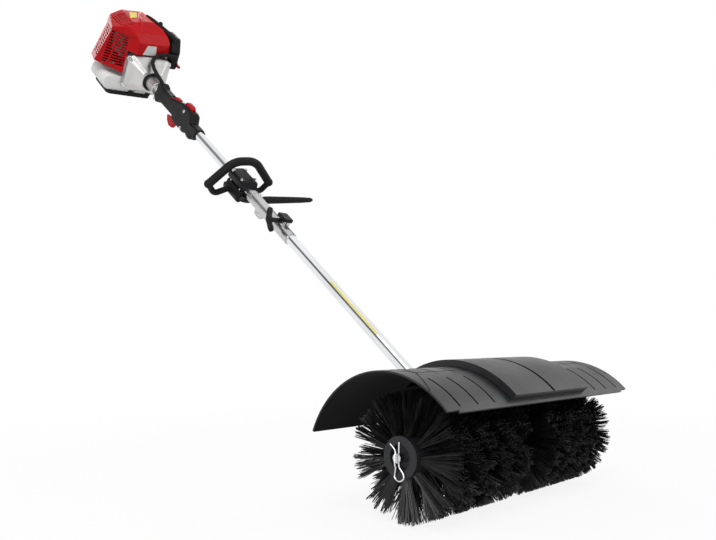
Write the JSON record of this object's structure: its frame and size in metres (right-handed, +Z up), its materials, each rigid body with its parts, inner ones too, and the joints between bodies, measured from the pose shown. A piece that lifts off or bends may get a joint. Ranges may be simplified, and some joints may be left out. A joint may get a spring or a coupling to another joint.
{
  "type": "power brush sweeper",
  "caption": "Engine-driven power brush sweeper: bristle drums under an arched guard, worm gearbox, split shaft, loop handle, throttle grip and rear engine.",
  "frame": {"origin": "on the ground under the middle of the brush axis", "axes": "+X along the brush axis to the operator's left, -Y forwards away from the engine, +Z up"},
  "size_m": [0.594, 1.5363, 1.3062],
  "materials": {
    "guard_plastic": "satin moulded",
    "black_plastic": "fine grained",
    "black_rubber": "matte",
    "painted_steel": "satin",
    "bristle_nylon": "dull",
    "core_plastic": "satin",
    "bright_steel": "bright",
    "bronze": "machined",
    "tube_aluminium": "polished",
    "cast_aluminium": "as cast",
    "bush_nylon": "satin",
    "yellow_film": "gloss",
    "red_plastic": "gloss",
    "friction_lining": "dull",
    "muffler_steel": "heat dulled",
    "plug_ceramic": "glazed",
    "tank_plastic": "translucent white",
    "primer_rubber": "soft"
  },
  "bodies": {
    "frame": {"brush_guard": "guard_plastic", "guard_bracket": "painted_steel", "gearbox_housing": "painted_steel", "gearbox_cover": "painted_steel", "frame_screws": "bright_steel", "axle_bearings": "bright_steel", "worm_bearings": "bright_steel", "lower_tube": "tube_aluminium", "drive_bushes": "bush_nylon", "marking_strip": "yellow_film", "coupler_body": "cast_aluminium", "coupler_cap": "black_plastic", "upper_tube": "tube_aluminium", "grip_right_shell": "black_plastic", "grip_left_shell": "black_plastic", "throttle_conduit": "black_rubber", "clutch_case": "cast_aluminium", "engine_bearings": "bright_steel", "crankcase": "cast_aluminium", "cylinder_block": "cast_aluminium", "spark_plug": "plug_ceramic", "muffler": "muffler_steel", "engine_shroud": "red_plastic", "carburettor": "cast_aluminium", "air_filter_cover": "black_plastic", "fuel_tank": "tank_plastic", "engine_stand": "black_plastic", "recoil_housing": "black_plastic"},
    "brush": {"brush_shaft": "bright_steel", "worm_wheel": "bronze", "left_brush_core": "core_plastic", "right_brush_core": "core_plastic", "left_bristles": "bristle_nylon", "right_bristles": "bristle_nylon"},
    "left_pin": {"left_clip": "bright_steel"},
    "right_pin": {"right_clip": "bright_steel"},
    "driveline": {"worm_shaft": "bright_steel", "lower_drive_shaft": "bright_steel", "upper_drive_shaft": "bright_steel", "clutch_drum": "bright_steel"},
    "knob": {"coupler_knob": "black_plastic"},
    "button": {"lock_button": "bright_steel"},
    "front_handle": {"clamp_base": "black_plastic", "clamp_cap": "black_plastic", "clamp_screws": "bright_steel", "loop_handle": "black_rubber", "barrier_bar": "painted_steel"},
    "trigger": {"throttle_trigger": "red_plastic"},
    "lockout": {"lockout_lever": "red_plastic"},
    "switch": {"stop_switch": "red_plastic"},
    "rotor": {"clutch_shoes": "friction_lining", "flywheel": "cast_aluminium", "crankshaft": "bright_steel"},
    "piston_body": {"piston": "cast_aluminium"},
    "rod": {"connecting_rod": "bright_steel"},
    "choke": {"choke_lever": "red_plastic"},
    "primer": {"primer_bulb": "primer_rubber"},
    "tank_cap": {"fuel_cap": "black_plastic"},
    "pulley": {"starter_pulley": "black_plastic"},
    "pull": {"starter_handle": "black_plastic"}
  },
  "joints": [
    {"name": "brush_spin", "type": "hinge", "parent": "frame", "child": "brush", "pos_m": [0, 0, 0.103], "axis": [1, 0, 0], "continuous": true},
    {"name": "driveline_spin", "type": "hinge", "parent": "frame", "child": "driveline", "pos_m": [0, 0.02507, 0.07312], "axis": [0, 0.766, 0.6428], "continuous": true},
    {"name": "left_clip_pull", "type": "slide", "parent": "brush", "child": "left_pin", "axis": [0, 0, -1], "range_m": [0, 0.045]},
    {"name": "right_clip_pull", "type": "slide", "parent": "brush", "child": "right_pin", "axis": [0, 0, -1], "range_m": [0, 0.045]},
    {"name": "knob_turn", "type": "hinge", "parent": "frame", "child": "knob", "pos_m": [0, 0.5819, 0.56386], "axis": [-1, 0, 0], "range_deg": [0, 720]},
    {"name": "button_press", "type": "slide", "parent": "frame", "child": "button", "axis": [0, 0.6428, -0.766], "range_m": [0, 0.004], "stiffness_N_per_m": 600, "springref_m": -0.002},
    {"name": "handle_slide", "type": "slide", "parent": "frame", "child": "front_handle", "axis": [0, 0.766, 0.6428], "range_m": [0, 0.2]},
    {"name": "trigger_squeeze", "type": "hinge", "parent": "frame", "child": "trigger", "pos_m": [0, 1.06136, 0.91657], "axis": [1, 0, 0], "range_deg": [0, 14], "stiffness_Nm_per_rad": 0.4, "springref_deg": -11.46},
    {"name": "lockout_press", "type": "hinge", "parent": "frame", "child": "lockout", "pos_m": [0, 1.0781, 0.98218], "axis": [1, 0, 0], "range_deg": [0, 5], "stiffness_Nm_per_rad": 0.4, "springref_deg": -11.46},
    {"name": "switch_slide", "type": "slide", "parent": "frame", "child": "switch", "axis": [0, 0.766, 0.6428], "range_m": [0, 0.004]},
    {"name": "rotor_spin", "type": "hinge", "parent": "frame", "child": "rotor", "pos_m": [0, 1.20631, 1.0643], "axis": [0, 0.766, 0.6428], "continuous": true},
    {"name": "piston_slide", "type": "slide", "parent": "frame", "child": "piston_body", "axis": [0.1219, 0.638, -0.7603], "range_m": [0, 0.031]},
    {"name": "rod_swing", "type": "hinge", "parent": "piston_body", "child": "rod", "pos_m": [-0.00896, 1.22836, 1.17804], "axis": [0, 0.766, 0.6428], "range_deg": [-12, 12]},
    {"name": "choke_turn", "type": "hinge", "parent": "frame", "child": "choke", "pos_m": [0.08769, 1.22016, 1.15048], "axis": [0.9925, -0.0783, 0.0934], "range_deg": [0, 60]},
    {"name": "primer_press", "type": "slide", "parent": "frame", "child": "primer", "axis": [-0.1219, -0.638, 0.7603], "range_m": [0, 0.004], "stiffness_N_per_m": 300, "springref_m": -0.002},
    {"name": "cap_turn", "type": "hinge", "parent": "frame", "child": "tank_cap", "pos_m": [0.08327, 1.31662, 1.10708], "axis": [0.9925, -0.0783, 0.0934], "range_deg": [0, 360]},
    {"name": "pulley_spin", "type": "hinge", "parent": "frame", "child": "pulley", "pos_m": [0, 1.36258, 1.19543], "axis": [0, -0.766, -0.6428], "range_deg": [0, 150], "stiffness_Nm_per_rad": 0.05, "springref_deg": -45.84},
    {"name": "starter_pull", "type": "slide", "parent": "frame", "child": "pull", "axis": [-0.1219, -0.638, 0.7603], "range_m": [0, 0.093]}
  ],
  "couplings": [
    {"joint": "driveline_spin", "follows": "brush_spin", "ratio": 24},
    {"joint": "starter_pull", "follows": "pulley_spin", "m_per_rad": 0.0355}
  ]
}
